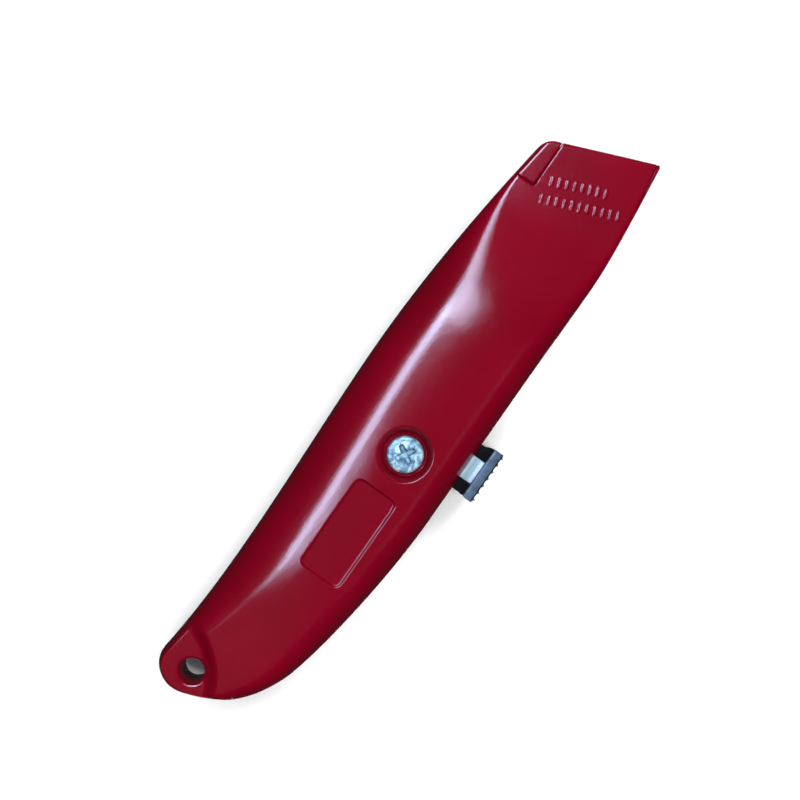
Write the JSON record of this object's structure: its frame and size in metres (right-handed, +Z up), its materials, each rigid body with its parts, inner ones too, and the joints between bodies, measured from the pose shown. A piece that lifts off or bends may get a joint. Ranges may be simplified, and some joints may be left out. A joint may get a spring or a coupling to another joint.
{
  "type": "retractable utility knife",
  "caption": "Retractable utility knife: two red enamelled cast halves held by a central screw, with a blade on a locking slide worked by a scalloped thumb button.",
  "frame": {"origin": "middle of the bounding box at its lowest level, the ground flat of the lower half that the knife lies on", "axes": "+X along the blade slide from the tail to the nose, +Y from the thumb button to the belly, +Z up, out of the half with the screw head"},
  "size_m": [0.151, 0.0361, 0.0188],
  "materials": {
    "enamel": "deep crimson gloss enamel on zinc die casting",
    "screw_zinc_plate": "dull zinc-plated steel, worn cross recess",
    "carrier_steel": "zinc-plated pressed steel",
    "blade_steel": "ground tool steel",
    "spring_steel": "blued spring steel",
    "pin_steel": "turned steel",
    "post_zinc": "bright bare zinc casting",
    "shoe_nylon": "black moulded nylon",
    "pad_zinc": "dark blue-grey cast zinc, crests rubbed bright"
  },
  "bodies": {
    "casing": {"upper_casing": "enamel", "lower_casing": "enamel", "casing_screw": "screw_zinc_plate", "spare_blade_1": "blade_steel", "spare_blade_2": "blade_steel", "spare_blade_3": "blade_steel", "spare_blade_4": "blade_steel", "spare_blade_5": "blade_steel"},
    "slide": {"blade_carrier": "carrier_steel", "working_blade": "blade_steel", "lock_spring": "spring_steel"},
    "button": {"thumb_button": "pad_zinc", "button_post": "post_zinc", "button_shoe": "shoe_nylon", "button_pin": "pin_steel"}
  },
  "joints": [
    {"name": "blade_slide", "type": "slide", "parent": "casing", "child": "slide", "axis": [1, 0, 0], "range_m": [0, 0.027], "deforming": ["lock_spring"]},
    {"name": "button_press", "type": "slide", "parent": "slide", "child": "button", "axis": [0, 1, 0], "range_m": [0, 0.0013], "stiffness_N_per_m": 1500, "springref_m": -0.001, "deforming": ["lock_spring"]}
  ]
}
